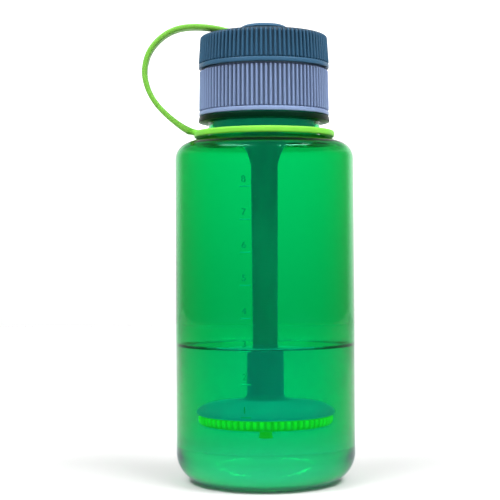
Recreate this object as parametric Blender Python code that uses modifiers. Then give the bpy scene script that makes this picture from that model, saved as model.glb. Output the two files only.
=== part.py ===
"""Wide-mouth screw-top bottle with a drip stem, a two-stage threaded lid and a tethered cap.

Units are metres, +Z is up, the origin is the middle of the base on the bottle's axis, and the
tether loops out towards -X.  Every twist axis is the bottle's own axis, x = y = 0.
"""
from math import cos, pi, radians, sin

import bmesh
import bpy
from mathutils import Matrix, Vector

MM = 0.001

# Driving dimensions: (radius, height above the table) unless the name says otherwise.
GAP = 0.3 * MM                    # air between separate pieces that touch
THREAD_LEAD = 6.0 * MM            # rise of every screw thread in one turn

BOTTLE_R = 44.8 * MM              # at the shoulder; the wall widens a little downwards
BOTTLE_BASE_R = 45.0 * MM
WALL = 2.0 * MM
BASE_CORNER_R = 15.0 * MM
BASE_THICK = 3.2 * MM
BASE_DISC_R = 12.0 * MM           # flat disc in the middle of the base, level with the foot rim
BASE_RIM_IN_R = 26.5 * MM
BASE_RELIEF = 1.4 * MM
SHOULDER_Z = 161.7 * MM           # top of the straight wall
SHOULDER_R = 8.8 * MM
NECK_R = 28.0 * MM
NECK_BORE_R = 26.2 * MM
NECK_ROOT_Z = 173.2 * MM
LIP_Z = 201.6 * MM
LEDGE_R = 33.0 * MM                # clear ledge round the neck, between the collar and the tether
LEDGE_Z = 180.1 * MM
LEDGE_TOP_Z = 183.0 * MM
NECK_THREAD_R = 29.6 * MM
NECK_THREAD_Z = 187.5 * MM
SCALE_STEP = 15.6 * MM            # height of one 100 ml step
SCALE_TOP_Z = 146.2 * MM
SCALE_COUNT = 8

COLLAR_Z = 183.4 * MM
COLLAR_TOP_Z = 206.8 * MM
COLLAR_R = 32.6 * MM              # at the rib tips, low down
COLLAR_TOP_R = 32.25 * MM
COLLAR_BORE_R = 30.2 * MM
COLLAR_THREAD_R = 28.4 * MM
RIB_COUNT = 88
RIB_DEPTH = 0.8 * MM
RIB_LIFT = 0.02 * MM              # the valleys between ribs stand this far off the wall
BAND = 2.0 * MM                   # plain band under the grip ribs

FLANGE_Z = 203.2 * MM             # underside of the insert's clamped flange
FLANGE_TOP_Z = 204.7 * MM
FLANGE_R = 29.6 * MM
SPIGOT_R = 27.0 * MM
SPIGOT_BORE_R = 24.8 * MM
SPIGOT_TOP_Z = 219.8 * MM
SPIGOT_THREAD_R = 28.1 * MM
SPIGOT_THREAD_Z = 211.4 * MM
WELL_R = 25.4 * MM
WELL_BORE_R = 23.4 * MM
WELL_FLOOR_Z = 172.0 * MM
WELL_FLOOR_THICK = 2.4 * MM

CAP_Z = 207.1 * MM
CAP_TOP_Z = 224.0 * MM
CAP_R = 32.7 * MM
CAP_TOP_R = 31.95 * MM
CAP_BORE_R = 29.0 * MM
CAP_PLATE = 2.2 * MM
CAP_THREAD_R = 27.3 * MM

BUTTON_R = 12.5 * MM
BUTTON_TOP_Z = 229.2 * MM
BUTTON_Z = 226.9 * MM
PIN_R = 4.0 * MM
PIN_HOLE_R = 4.3 * MM

STEM_TOP_Z = 184.0 * MM
STEM_END_Z = 39.9 * MM
STEM_TOP_R = 6.75 * MM
STEM_END_R = 6.25 * MM
STEM_BORE_R = 4.0 * MM
SPIGOT_END_R = 5.75 * MM          # lower end of the stem, inside the foot's sleeve
SOCKET_R = 6.95 * MM

BOSS_R = 9.2 * MM                  # boss in the middle of the well, which holds stem and cup
BOSS_TOP_Z = 190.0 * MM
CUP_R = 9.0 * MM
CUP_CAVITY_R = 7.2 * MM
CUP_FLOOR_Z = 195.6 * MM
CUP_TOP_Z = 206.0 * MM
SLEEVE_LIP_Z = 190.3 * MM          # underside of the cup sleeve's lip, over the boss
SLEEVE_LIP_TOP_Z = 191.5 * MM
STEM_GROOVE_R = 5.4 * MM
STEM_GROOVE_Z = 178.6 * MM
STEM_GROOVE_TOP_Z = 180.6 * MM

MOUTH_X = 16.2 * MM               # the mouthpiece stands beside the cup, on the +X side
MOUTH_R = 5.4 * MM
MOUTH_BORE_R = 3.9 * MM
MOUTH_TOP_Z = 217.0 * MM

FOOT_R = 26.1 * MM
FOOT_Z = 33.5 * MM
SLEEVE_TOP_Z = 68.5 * MM
DIFFUSER_R = 25.4 * MM
DIFFUSER_Z = 28.3 * MM
TOOTH_COUNT = 52
STUD_R = 2.4 * MM
STUD_Z = 22.9 * MM

TETHER_RING_R = 35.2 * MM
TETHER_RING_BORE_R = 28.5 * MM
TETHER_RING_Z = 172.3 * MM
TETHER_RING_TOP_Z = 175.7 * MM
STRAP_THICK = 2.4 * MM
STRAP_WIDTH = 8.0 * MM
HUB_RING_R = 11.0 * MM
HUB_RING_BORE_R = 4.4 * MM
HUB_RING_Z = 224.4 * MM
HUB_RING_TOP_Z = 226.6 * MM

# The strap's centre line in the XZ plane, from the neck ring up and over to the button, in mm.
STRAP_ROUTE = [
    (-33.2, 175.0), (-36.8, 176.1), (-40.9, 178.2), (-45.2, 181.2), (-49.2, 184.6),
    (-53.3, 188.9), (-56.5, 193.6), (-58.8, 199.0), (-59.9, 204.8), (-59.3, 210.8),
    (-57.2, 216.4), (-53.4, 221.3), (-48.4, 225.2), (-42.4, 227.6), (-35.6, 228.4),
    (-28.6, 228.1), (-22.8, 227.2), (-18.4, 226.2), (-14.6, 225.6), (-9.5, 225.5),
]
# Where the strap's four cuts fall, as parts of its whole run.
STRAP_CUTS = (0.045, 0.235, 0.36, 0.925)
STRAP_SAMPLES = 1000

LILAC = (0.20, 0.24, 0.42)
SLATE = (0.045, 0.095, 0.17)
LIME = (0.22, 0.66, 0.05)
GREEN = (0.01, 0.52, 0.10)


def clear_scene():
    for obj in list(bpy.data.objects):
        bpy.data.objects.remove(obj, do_unlink=True)


def new_collection(name):
    collection = bpy.data.collections.new(name)
    bpy.context.scene.collection.children.link(collection)
    return collection


clear_scene()
PARTS = new_collection("screw_top_bottle")
TOOLS = new_collection("cutters")


def material(name, colour, roughness, metallic=0.0):
    mat = bpy.data.materials.new(name)
    mat.use_nodes = True
    shader = mat.node_tree.nodes["Principled BSDF"]
    shader.inputs["Base Color"].default_value = (*colour, 1.0)
    shader.inputs["Roughness"].default_value = roughness
    shader.inputs["Metallic"].default_value = metallic
    return mat


def add_object(name, mesh, body=None):
    """Put a mesh in the scene: as a part of a body, or as a hidden tool when body is None."""
    obj = bpy.data.objects.new(name, mesh)
    if body is None:
        TOOLS.objects.link(obj)
        obj.hide_render = True
        obj.display_type = "WIRE"
        return obj
    PARTS.objects.link(obj)
    obj.parent = body
    return obj


def dress(obj, colour, roughness, metallic=0.0):
    obj.data.materials.append(material(obj.name + "_material", colour, roughness, metallic))
    return obj


def body_empty(name):
    """An empty on the common twist axis; each body's pieces hang from one."""
    empty = bpy.data.objects.new("body_" + name, None)
    empty.empty_display_size = 0.02
    PARTS.objects.link(empty)
    return empty


def arc(centre_r, centre_z, radius, start, end, steps):
    """Profile points on an arc, in degrees from +X towards +Z."""
    turn = (end - start) / steps
    angles = [radians(start + turn * i) for i in range(steps + 1)]
    return [(centre_r + radius * cos(a), centre_z + radius * sin(a)) for a in angles]


def turned(name, profile, steps, body=None, closed=True, centre_x=0.0):
    """Turn a profile about a vertical axis at x = centre_x.

    The profile runs down its outer side and back up its inner side.  A closed one is the section
    of a ring, and an open one starts and ends on the axis.
    """
    mesh = bpy.data.meshes.new(name)
    count = len(profile)
    edges = [(i, i + 1) for i in range(count - 1)]
    if closed:
        edges.append((count - 1, 0))
    mesh.from_pydata([(r, 0.0, z) for r, z in profile], edges, [])
    obj = add_object(name, mesh, body)
    obj.location.x = centre_x
    screw = obj.modifiers.new("Screw", "SCREW")
    screw.axis = "Z"
    screw.angle = 2 * pi
    screw.steps = steps
    screw.render_steps = steps
    screw.use_merge_vertices = True
    screw.merge_threshold = 0.00001
    screw.use_smooth_shade = True
    return obj


def boolean(obj, tool, operation):
    modifier = obj.modifiers.new(tool.name, "BOOLEAN")
    modifier.operation = operation
    modifier.solver = "EXACT"
    modifier.object = tool


def close_mesh(name, bm, body=None):
    bmesh.ops.recalc_face_normals(bm, faces=bm.faces)
    mesh = bpy.data.meshes.new(name)
    bm.to_mesh(mesh)
    bm.free()
    return add_object(name, mesh, body)


def skin_sections(name, sections, ring=False, body=None):
    """Skin a row of like point loops; the ends are capped unless the row is a ring."""
    bm = bmesh.new()
    loops = [[bm.verts.new(point) for point in section] for section in sections]
    size = len(loops[0])
    last = len(loops) if ring else len(loops) - 1
    for i in range(last):
        here = loops[i]
        there = loops[(i + 1) % len(loops)]
        for k in range(size):
            m = (k + 1) % size
            bm.faces.new((here[k], here[m], there[m], there[k]))
    if not ring:
        bm.faces.new(loops[0])
        bm.faces.new(loops[-1])
    return close_mesh(name, bm, body)


def around(radius, angle, height):
    return Vector((radius * cos(angle), radius * sin(angle), height))


def thread_ridge(name, wall_r, crest_r, start_z, turns):
    """A helical ridge, sunk a little into the wall it grows from, that fades out at both ends."""
    sections_a_turn = 32
    root_half = 1.1 * MM
    crest_half = 0.5 * MM
    side = 1.0 if crest_r > wall_r else -1.0
    sunk_r = wall_r - side * 0.4 * MM
    faded_r = wall_r - side * 0.15 * MM
    count = int(sections_a_turn * turns)
    fade = 3
    sections = []
    for i in range(count + 1):
        angle = 2 * pi * turns * i / count
        z = start_z + THREAD_LEAD * turns * i / count
        height = min(1.0, i / fade, (count - i) / fade)
        top_r = faded_r + (crest_r - faded_r) * height
        sections.append([
            around(sunk_r, angle, z - root_half),
            around(top_r, angle, z - crest_half),
            around(top_r, angle, z + crest_half),
            around(sunk_r, angle, z + root_half),
        ])
    return skin_sections(name, sections)


def ribbed_band(name, count, inner_r, rows):
    """A ring whose outside is a row of upright ribs; rows are (height, valley r, tip r)."""
    sections = []
    for i in range(2 * count):
        angle = pi * i / count
        outer = [around(tip if i % 2 else valley, angle, z) for z, valley, tip in rows]
        inner = [around(inner_r, angle, z) for z, valley, tip in reversed(rows)]
        sections.append(outer + inner)
    return skin_sections(name, sections, ring=True)


def plain_ring(name, inner_r, outer_r, low_z, high_z, steps, body, centre_x=0.0):
    """A flat ring of rectangular section."""
    profile = [(outer_r, high_z), (outer_r, low_z), (inner_r, low_z), (inner_r, high_z)]
    return turned(name, profile, steps, body, centre_x=centre_x)


def cylinder_tool(name, radius, low_z, high_z, x=0.0, y=0.0, segments=24):
    bm = bmesh.new()
    bmesh.ops.create_cone(bm, cap_ends=True, segments=segments, radius1=radius, radius2=radius,
                          depth=high_z - low_z)
    bmesh.ops.translate(bm, verts=bm.verts, vec=(x, y, (low_z + high_z) / 2))
    return close_mesh(name, bm)


# ---- the bottle -------------------------------------------------------------------------------

def bottle_profile():
    corner_r = BASE_CORNER_R
    inner_corner_r = corner_r - WALL
    rim_r = BOTTLE_BASE_R - corner_r
    shoulder_r = BOTTLE_R - SHOULDER_R
    floor = [(0.0, BASE_THICK), (rim_r * 0.6, BASE_THICK)]
    inner_base = arc(rim_r, BASE_THICK + inner_corner_r, inner_corner_r, -90, 0, 4)
    inner_shoulder = arc(shoulder_r, SHOULDER_Z, SHOULDER_R - WALL, 0, 70, 4)
    inner_neck = [
        (33.0 * MM, 169.6 * MM), (NECK_BORE_R + 1.6 * MM, 171.2 * MM),
        (NECK_BORE_R, 172.8 * MM), (NECK_BORE_R, LIP_Z - 0.4 * MM),
    ]
    lip = [(NECK_BORE_R + 0.4 * MM, LIP_Z), (NECK_R - 0.4 * MM, LIP_Z), (NECK_R, LIP_Z - 0.4 * MM)]
    outer_neck = [
        (NECK_R, LEDGE_TOP_Z), (LEDGE_R - 0.5 * MM, LEDGE_TOP_Z),
        (LEDGE_R, LEDGE_Z + 0.6 * MM), (LEDGE_R - 0.5 * MM, LEDGE_Z), (NECK_R, LEDGE_Z),
        (NECK_R, NECK_ROOT_Z), (30.5 * MM, 172.3 * MM),
    ]
    outer_shoulder = arc(shoulder_r, SHOULDER_Z, SHOULDER_R, 72, 0, 5)
    outer_base = arc(rim_r, corner_r, corner_r, 0, -90, 6)
    relief = [
        (BASE_RIM_IN_R, 0.0), (BASE_RIM_IN_R - 2 * MM, BASE_RELIEF),
        (BASE_DISC_R + 2 * MM, BASE_RELIEF), (BASE_DISC_R, 0.0), (0.0, 0.0),
    ]
    return (floor + inner_base + inner_shoulder + inner_neck + lip + outer_neck
            + outer_shoulder + outer_base + relief)


def scale_bars():
    """The raised strokes of the volume scale, on the front wall left of the middle."""
    bm = bmesh.new()
    angle = radians(-102.6)
    for i in range(SCALE_COUNT):
        height = SCALE_TOP_Z - SCALE_STEP * i
        size = Matrix.Diagonal((1.6 * MM, 5.0 * MM, 0.7 * MM, 1.0))
        wall_r = BOTTLE_R + (BOTTLE_BASE_R - BOTTLE_R) * (1 - height / SHOULDER_Z)
        place = Matrix.Translation((wall_r - 0.35 * MM, 0.0, height))
        bmesh.ops.create_cube(bm, size=1.0, matrix=Matrix.Rotation(angle, 4, "Z") @ place @ size)
    return close_mesh("scale_bars", bm)


def build_bottle():
    body = body_empty("bottle")
    bottle = turned("bottle_body", bottle_profile(), 44, body, closed=False)
    ridge = thread_ridge("neck_thread", NECK_R, NECK_THREAD_R, NECK_THREAD_Z, 1.25)
    boolean(bottle, ridge, "UNION")
    boolean(bottle, scale_bars(), "UNION")
    dress(bottle, GREEN, 0.08)


# ---- the insert with its stem and foot ----------------------------------------------------------

def insert_profile():
    edge = 0.4 * MM
    floor_top = WELL_FLOOR_Z + WELL_FLOOR_THICK
    cup_seat_z = STEM_TOP_Z + GAP
    seat_r = 8.2 * MM
    outside = [
        (SPIGOT_R - edge, SPIGOT_TOP_Z), (SPIGOT_R, SPIGOT_TOP_Z - edge),
        (SPIGOT_R, FLANGE_TOP_Z), (FLANGE_R, FLANGE_TOP_Z), (FLANGE_R, FLANGE_Z),
        (WELL_R, FLANGE_Z),
    ]
    corner = arc(WELL_R - 3 * MM, WELL_FLOOR_Z + 3 * MM, 3 * MM, 0, -90, 3)
    socket = [
        (SOCKET_R, WELL_FLOOR_Z), (SOCKET_R, cup_seat_z), (seat_r, cup_seat_z),
        (seat_r, BOSS_TOP_Z), (BOSS_R, BOSS_TOP_Z), (BOSS_R, floor_top),
    ]
    inside = [
        (WELL_BORE_R - 1.5 * MM, floor_top), (WELL_BORE_R, floor_top + 1.5 * MM),
        (WELL_BORE_R, FLANGE_Z), (SPIGOT_BORE_R, FLANGE_TOP_Z),
        (SPIGOT_BORE_R, SPIGOT_TOP_Z - edge), (SPIGOT_BORE_R + edge, SPIGOT_TOP_Z),
    ]
    return outside + corner + socket + inside


def build_insert(body):
    insert = turned("insert_well", insert_profile(), 36, body)
    ridge = thread_ridge("spigot_thread", SPIGOT_R, SPIGOT_THREAD_R, SPIGOT_THREAD_Z, 1.1)
    boolean(insert, ridge, "UNION")
    hole = cylinder_tool("mouthpiece_hole", MOUTH_R + 1.5 * MM, WELL_FLOOR_Z - 1 * MM,
                         WELL_FLOOR_Z + WELL_FLOOR_THICK + 1 * MM, x=MOUTH_X)
    boolean(insert, hole, "DIFFERENCE")
    dress(insert, LILAC, 0.45)

    gasket_z = LIP_Z + GAP
    gasket = plain_ring("rim_gasket", NECK_BORE_R + 0.3 * MM, NECK_R - 0.1 * MM, gasket_z,
                        FLANGE_Z - GAP, 40, body)
    dress(gasket, SLATE, 0.7)


def build_mouthpiece(body):
    low_z = WELL_FLOOR_Z + 0.2 * MM
    lip_r = MOUTH_R + 0.6 * MM
    profile = [
        (MOUTH_R - 0.6 * MM, MOUTH_TOP_Z), (lip_r - 0.3 * MM, MOUTH_TOP_Z - 0.5 * MM),
        (lip_r, MOUTH_TOP_Z - 1.6 * MM), (lip_r - 0.2 * MM, MOUTH_TOP_Z - 3.0 * MM),
        (MOUTH_R, MOUTH_TOP_Z - 5.0 * MM), (MOUTH_R, low_z + 0.6 * MM),
        (MOUTH_R - 0.6 * MM, low_z), (MOUTH_BORE_R, low_z), (MOUTH_BORE_R, MOUTH_TOP_Z - 0.5 * MM),
        (MOUTH_BORE_R + 0.4 * MM, MOUTH_TOP_Z),
    ]
    mouthpiece = turned("mouthpiece", profile, 24, body, centre_x=MOUTH_X)
    dress(mouthpiece, SLATE, 0.4)
    grommet = plain_ring("mouthpiece_grommet", MOUTH_R + GAP, MOUTH_R + 4 * GAP,
                         low_z, WELL_FLOOR_Z + WELL_FLOOR_THICK + 0.8 * MM, 24,
                         body, centre_x=MOUTH_X)
    dress(grommet, LIME, 0.65)


def build_cup(body):
    seat_z = STEM_TOP_Z + 2 * GAP
    sleeve_profile = [
        (CUP_R, SLEEVE_LIP_TOP_Z), (CUP_R, SLEEVE_LIP_Z), (7.9 * MM, SLEEVE_LIP_Z),
        (7.9 * MM, seat_z), (6.3 * MM, seat_z), (6.3 * MM, SLEEVE_LIP_TOP_Z),
    ]
    sleeve = turned("cup_sleeve", sleeve_profile, 24, body)
    dress(sleeve, LIME, 0.65)

    edge = 0.4 * MM
    neck_z = SLEEVE_LIP_TOP_Z + GAP
    cup_profile = [
        (CUP_R - edge, CUP_TOP_Z), (CUP_R, CUP_TOP_Z - edge), (CUP_R, neck_z + 2.2 * MM),
        (7.0 * MM, neck_z), (6.0 * MM, neck_z), (6.0 * MM, seat_z + GAP),
        (2.6 * MM, seat_z + GAP), (2.6 * MM, neck_z + 2.2 * MM), (5.6 * MM, CUP_FLOOR_Z),
        (CUP_CAVITY_R, CUP_FLOOR_Z), (CUP_CAVITY_R, CUP_TOP_Z - edge),
        (CUP_CAVITY_R + edge, CUP_TOP_Z),
    ]
    cup = turned("inlet_cup", cup_profile, 24, body)
    dress(cup, (0.62, 0.60, 0.56), 0.3)

    screen_z = CUP_FLOOR_Z + GAP
    screen_r = CUP_CAVITY_R - GAP
    screen_top = screen_z + 0.7 * MM
    screen = turned("cup_screen", [(0.0, screen_top), (screen_r, screen_top), (screen_r, screen_z),
                                   (0.0, screen_z)], 24, body, closed=False)
    for i in range(6):
        place = around(3.4 * MM, 2 * pi * i / 6, 0.0)
        hole = cylinder_tool("screen_hole_%d" % i, 0.9 * MM, screen_z - 1 * MM, screen_top + 1 * MM,
                             x=place.x, y=place.y, segments=8)
        boolean(screen, hole, "DIFFERENCE")
    dress(screen, (0.55, 0.55, 0.56), 0.35, 1.0)


def build_stem(body):
    under_floor = WELL_FLOOR_Z - GAP
    flare_top_r = 11.95 * MM
    step_z = SLEEVE_TOP_Z + GAP
    head_r = SOCKET_R - GAP
    head = [
        (head_r - 0.4 * MM, STEM_TOP_Z), (head_r, STEM_TOP_Z - 0.4 * MM), (head_r, STEM_GROOVE_TOP_Z),
        (STEM_GROOVE_R, STEM_GROOVE_TOP_Z), (STEM_GROOVE_R, STEM_GROOVE_Z), (head_r, STEM_GROOVE_Z),
        (head_r, under_floor), (flare_top_r, under_floor),
    ]
    flare = [
        (flare_top_r, under_floor - 0.5 * MM), (9.9 * MM, 168.0 * MM), (8.5 * MM, 164.8 * MM),
        (7.5 * MM, 161.8 * MM), (STEM_TOP_R, 158.6 * MM),
    ]
    tail = [
        (STEM_END_R, step_z), (SPIGOT_END_R, step_z), (SPIGOT_END_R, STEM_END_Z),
        (STEM_BORE_R, STEM_END_Z), (STEM_BORE_R, STEM_TOP_Z),
    ]
    stem = turned("stem_tube", head + flare + tail, 24, body)
    dress(stem, LILAC, 0.45)

    seal = plain_ring("stem_oring", STEM_GROOVE_R + 0.25 * MM, SOCKET_R - 0.25 * MM,
                      STEM_GROOVE_Z + GAP, STEM_GROOVE_TOP_Z - GAP, 24, body)
    dress(seal, (0.02, 0.02, 0.02), 0.6)


def build_foot(body):
    sleeve_bore = SPIGOT_END_R + GAP
    sleeve = [(6.7 * MM, SLEEVE_TOP_Z), (6.95 * MM, SLEEVE_TOP_Z - 0.4 * MM)]
    fillet = arc(10.1 * MM, 45.0 * MM, 2.9 * MM, 180, 270, 3)
    dome = [
        (18.0 * MM, 41.3 * MM), (22.6 * MM, 39.7 * MM), (25.0 * MM, 37.8 * MM), (FOOT_R, 35.6 * MM),
        (25.8 * MM, 34.2 * MM), (24.9 * MM, FOOT_Z),
    ]
    hollow = [(22.5 * MM, FOOT_Z), (22.5 * MM, 36.0 * MM), (6.5 * MM, 37.2 * MM)]
    bore = [
        (STEM_BORE_R, 37.6 * MM), (STEM_BORE_R, STEM_END_Z - GAP),
        (sleeve_bore, STEM_END_Z - GAP), (sleeve_bore, SLEEVE_TOP_Z),
    ]
    foot = turned("foot_dome", sleeve + fillet + dome + hollow + bore, 36, body)
    dress(foot, LILAC, 0.45)

    top_z = FOOT_Z - GAP
    root_r = DIFFUSER_R - 1.2 * MM
    plate_profile = [
        (0.0, top_z), (root_r, top_z), (root_r, DIFFUSER_Z + 1.6 * MM),
        (root_r - 1.8 * MM, DIFFUSER_Z), (STUD_R, DIFFUSER_Z), (STUD_R, STUD_Z + 1.0 * MM),
        (STUD_R + 0.3 * MM, STUD_Z + 0.8 * MM), (STUD_R + 0.3 * MM, STUD_Z), (0.0, STUD_Z),
    ]
    diffuser = turned("diffuser_ring", plate_profile, 36, body, closed=False)
    teeth_rows = [
        (top_z - 0.1 * MM, root_r + RIB_LIFT, DIFFUSER_R),
        (DIFFUSER_Z + 1.7 * MM, root_r + RIB_LIFT, DIFFUSER_R - 0.8 * MM),
    ]
    teeth = ribbed_band("diffuser_teeth", TOOTH_COUNT, root_r - 3.4 * MM, teeth_rows)
    boolean(diffuser, teeth, "UNION")
    dress(diffuser, LIME, 0.5)


# ---- the collar and the cap ---------------------------------------------------------------------

def build_collar():
    body = body_empty("collar")
    root_r = COLLAR_R - RIB_DEPTH
    ceiling = FLANGE_TOP_Z + GAP
    hole_r = SPIGOT_THREAD_R + GAP
    root_top_r = COLLAR_TOP_R - RIB_DEPTH
    profile = [
        (root_top_r - 0.4 * MM, COLLAR_TOP_Z), (root_top_r, COLLAR_TOP_Z - 0.4 * MM),
        (root_r, COLLAR_Z + BAND + 0.4 * MM), (COLLAR_R, COLLAR_Z + BAND),
        (COLLAR_R, COLLAR_Z + 0.3 * MM), (COLLAR_R - 0.3 * MM, COLLAR_Z),
        (COLLAR_BORE_R + 0.3 * MM, COLLAR_Z), (COLLAR_BORE_R, COLLAR_Z + 0.3 * MM),
        (COLLAR_BORE_R, ceiling), (hole_r, ceiling), (hole_r, COLLAR_TOP_Z),
    ]
    collar = turned("collar_ring", profile, 36, body)
    rows = [
        (COLLAR_TOP_Z - 0.5 * MM, root_top_r + RIB_LIFT, COLLAR_TOP_R),
        (COLLAR_Z + BAND + 0.5 * MM, root_r + RIB_LIFT, COLLAR_R),
    ]
    ribs = ribbed_band("collar_ribs", RIB_COUNT, COLLAR_BORE_R + 0.6 * MM, rows)
    boolean(collar, ribs, "UNION")
    ridge = thread_ridge("collar_thread", COLLAR_BORE_R, COLLAR_THREAD_R,
                         NECK_THREAD_Z - THREAD_LEAD / 2, 1.25)
    boolean(collar, ridge, "UNION")
    dress(collar, LILAC, 0.45)


def build_cap():
    body = body_empty("cap")
    root_r = CAP_R - RIB_DEPTH
    root_top_r = CAP_TOP_R - RIB_DEPTH
    plate_z = CAP_TOP_Z - CAP_PLATE
    round_r = 2.2 * MM
    profile = [(PIN_HOLE_R, CAP_TOP_Z)]
    profile += arc(root_top_r - round_r, CAP_TOP_Z - round_r, round_r, 90, 0, 3)
    profile += [
        (root_r, CAP_Z + BAND + 0.4 * MM), (CAP_R, CAP_Z + BAND), (CAP_R, CAP_Z + 0.3 * MM),
        (CAP_R - 0.3 * MM, CAP_Z), (CAP_BORE_R + 0.3 * MM, CAP_Z), (CAP_BORE_R, CAP_Z + 0.3 * MM),
        (CAP_BORE_R, plate_z - 0.8 * MM), (CAP_BORE_R - 0.6 * MM, plate_z), (PIN_HOLE_R, plate_z),
    ]
    cap = turned("cap_shell", profile, 36, body)
    rows = [
        (CAP_TOP_Z - round_r - 0.1 * MM, root_top_r + RIB_LIFT, CAP_TOP_R),
        (CAP_Z + BAND + 0.5 * MM, root_r + RIB_LIFT, CAP_R),
    ]
    ribs = ribbed_band("cap_ribs", RIB_COUNT, CAP_BORE_R + 1.2 * MM, rows)
    boolean(cap, ribs, "UNION")
    ridge = thread_ridge("cap_thread", CAP_BORE_R, CAP_THREAD_R,
                         SPIGOT_THREAD_Z - THREAD_LEAD / 2, 1.1)
    boolean(cap, ridge, "UNION")
    dress(cap, SLATE, 0.42)

    liner = plain_ring("cap_liner", 8.0 * MM, CAP_BORE_R - 0.7 * MM, SPIGOT_TOP_Z + 0.4 * MM,
                       plate_z - GAP, 36, body)
    dress(liner, (0.75, 0.75, 0.72), 0.6)


def build_button():
    body = body_empty("button")
    pin_end = 219.0 * MM
    profile = [
        (0.0, BUTTON_TOP_Z), (8.0 * MM, BUTTON_TOP_Z), (10.4 * MM, BUTTON_TOP_Z - 0.4 * MM),
        (11.9 * MM, BUTTON_TOP_Z - 1.2 * MM), (BUTTON_R, BUTTON_Z + 0.3 * MM),
        (BUTTON_R - 0.3 * MM, BUTTON_Z), (PIN_R, BUTTON_Z), (PIN_R, pin_end + 0.6 * MM),
        (PIN_R - 0.6 * MM, pin_end), (0.0, pin_end),
    ]
    button = turned("tether_button", profile, 32, body, closed=False)
    dress(button, SLATE, 0.42)

    plate_z = CAP_TOP_Z - CAP_PLATE
    clip = plain_ring("button_clip", PIN_R + GAP, 7.4 * MM, plate_z - GAP - 1.5 * MM,
                      plate_z - GAP, 24, body)
    dress(clip, SLATE, 0.42)


# ---- the tether ---------------------------------------------------------------------------------

def strap_line():
    """Even steps along a smooth curve through the strap's route."""
    knots = [Vector((x * MM, 0.0, z * MM)) for x, z in STRAP_ROUTE]
    fine = []
    for i in range(len(knots) - 1):
        before = knots[max(i - 1, 0)]
        start = knots[i]
        end = knots[i + 1]
        after = knots[min(i + 2, len(knots) - 1)]
        for k in range(20):
            t = k / 20
            fine.append(0.5 * (2 * start + (end - before) * t
                               + (2 * before - 5 * start + 4 * end - after) * t * t
                               + (3 * start - before - 3 * end + after) * t * t * t))
    fine.append(knots[-1])
    run = [0.0]
    for i in range(1, len(fine)):
        run.append(run[-1] + (fine[i] - fine[i - 1]).length)
    line = []
    k = 0
    for i in range(STRAP_SAMPLES + 1):
        target = run[-1] * i / STRAP_SAMPLES
        while run[k + 1] < target and k < len(run) - 2:
            k += 1
        t = (target - run[k]) / (run[k + 1] - run[k])
        line.append(fine[k].lerp(fine[k + 1], t))
    return line, run[-1]


def strap_piece(name, start, end, body=None):
    """One stretch of the strap between two parts of its run, as a band with broken edges."""
    line, length = strap_line()
    first = round(start * STRAP_SAMPLES)
    last = round(end * STRAP_SAMPLES)
    steps = max(3, round((end - start) * length / (3.0 * MM)))
    half_w = STRAP_WIDTH / 2
    half_t = STRAP_THICK / 2
    edge = 0.6 * MM
    outline = [
        (half_w, half_t - edge), (half_w - edge, half_t), (edge - half_w, half_t),
        (-half_w, half_t - edge), (-half_w, edge - half_t), (edge - half_w, -half_t),
        (half_w - edge, -half_t), (half_w, edge - half_t),
    ]
    sections = []
    for i in range(steps + 1):
        k = first + (last - first) * i // steps
        ahead = line[min(k + 4, STRAP_SAMPLES)]
        tangent = (ahead - line[max(k - 4, 0)]).normalized()
        normal = Vector((-tangent.z, 0.0, tangent.x))
        sections.append([line[k] + Vector((0.0, y, 0.0)) + normal * n for y, n in outline])
    return skin_sections(name, sections, body=body)


def build_tether():
    length = strap_line()[1]
    gap = GAP / length
    lower_cut, bend_low, bend_high, upper_cut = STRAP_CUTS

    ring_body = body_empty("tether_ring")
    edge = 0.8 * MM
    profile = [
        (TETHER_RING_R - edge, TETHER_RING_TOP_Z), (TETHER_RING_R, TETHER_RING_TOP_Z - edge),
        (TETHER_RING_R, TETHER_RING_Z + edge), (TETHER_RING_R - 0.5 * edge, TETHER_RING_Z),
        (TETHER_RING_BORE_R + 0.3 * MM, TETHER_RING_Z + 1.6 * MM),
        (TETHER_RING_BORE_R, TETHER_RING_Z + 1.9 * MM),
        (TETHER_RING_BORE_R, TETHER_RING_TOP_Z - 0.3 * MM),
        (TETHER_RING_BORE_R + 0.3 * MM, TETHER_RING_TOP_Z),
    ]
    ring = turned("tether_neck_ring", profile, 44, ring_body)
    boolean(ring, strap_piece("neck_ring_lug", 0.0, lower_cut), "UNION")
    dress(ring, LIME, 0.5)
    dress(strap_piece("tether_strap_lower", lower_cut + gap, bend_low, ring_body), LIME, 0.5)

    bend_body = body_empty("strap_bend")
    dress(strap_piece("tether_strap_bend", bend_low + gap, bend_high, bend_body), LIME, 0.5)
    dress(strap_piece("tether_strap_upper", bend_high + gap, upper_cut, bend_body), LIME, 0.5)

    hub_body = body_empty("hub_ring")
    hub = plain_ring("tether_hub_ring", HUB_RING_BORE_R, HUB_RING_R, HUB_RING_Z, HUB_RING_TOP_Z,
                     28, hub_body)
    boolean(hub, strap_piece("hub_ring_lug", upper_cut + gap, 1.0), "UNION")
    dress(hub, LIME, 0.5)


def build():
    build_bottle()
    lid = body_empty("lid_insert")
    build_insert(lid)
    build_mouthpiece(lid)
    build_cup(lid)
    build_stem(lid)
    build_foot(lid)
    build_collar()
    build_cap()
    build_button()
    build_tether()


build()
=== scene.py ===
from math import cos, pi, radians, sin, tau

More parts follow.
